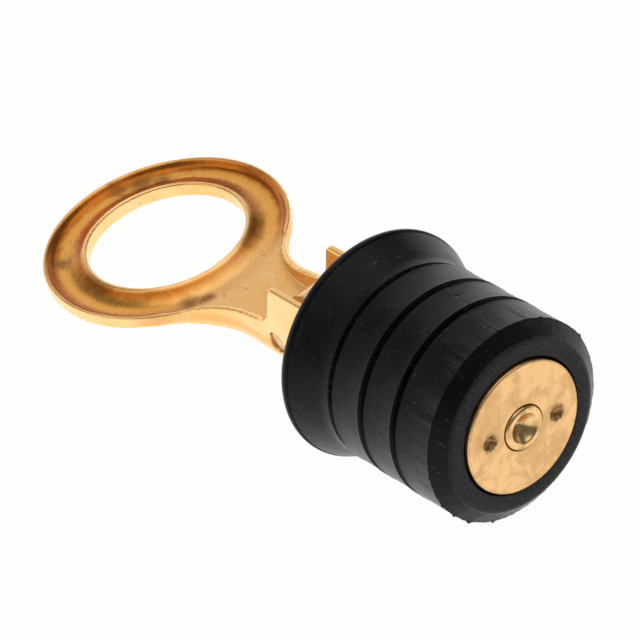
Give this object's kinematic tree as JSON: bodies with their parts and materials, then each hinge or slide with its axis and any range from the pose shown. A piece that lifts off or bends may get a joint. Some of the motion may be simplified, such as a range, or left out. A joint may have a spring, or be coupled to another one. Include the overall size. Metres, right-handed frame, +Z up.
{
  "type": "snap-handle boat drain plug",
  "caption": "Expanding rubber drain plug for a boat's drain tube, with brass discs and a folding cast brass ring handle on a draw stud.",
  "frame": {"origin": "middle of the plug's cylindrical sealing lands, on the plug's axis", "axes": "+Z up as the loose plug lies on a level surface; +X is the level direction of the plug's axis towards the handle, whose end lies 12.6 degrees lower; +Y is the side to which the handle has slid along its pin"},
  "size_m": [0.0815, 0.0328, 0.0315],
  "materials": {
    "rubber": "matt moulded rubber",
    "brushed_brass": "brushed and lightly tarnished",
    "plain_brass": "turned, dull",
    "cast_brass": "cast and polished"
  },
  "bodies": {
    "seal": {"rubber_plug": "rubber", "bottom_disc": "brushed_brass", "top_plate": "brushed_brass"},
    "stud": {"draw_stud": "plain_brass"},
    "lever": {"lever_handle": "cast_brass", "pivot_pin": "plain_brass"}
  },
  "joints": [
    {"name": "stud_turn", "type": "hinge", "parent": "seal", "child": "stud", "pos_m": [0, 0, 0], "axis": [0.9759, 0, -0.2181], "continuous": true},
    {"name": "lever_fold", "type": "hinge", "parent": "stud", "child": "lever", "pos_m": [0.02525, 0, -0.00564], "axis": [-0.0091, 0.9991, -0.0409], "range_deg": [0, 110]}
  ]
}
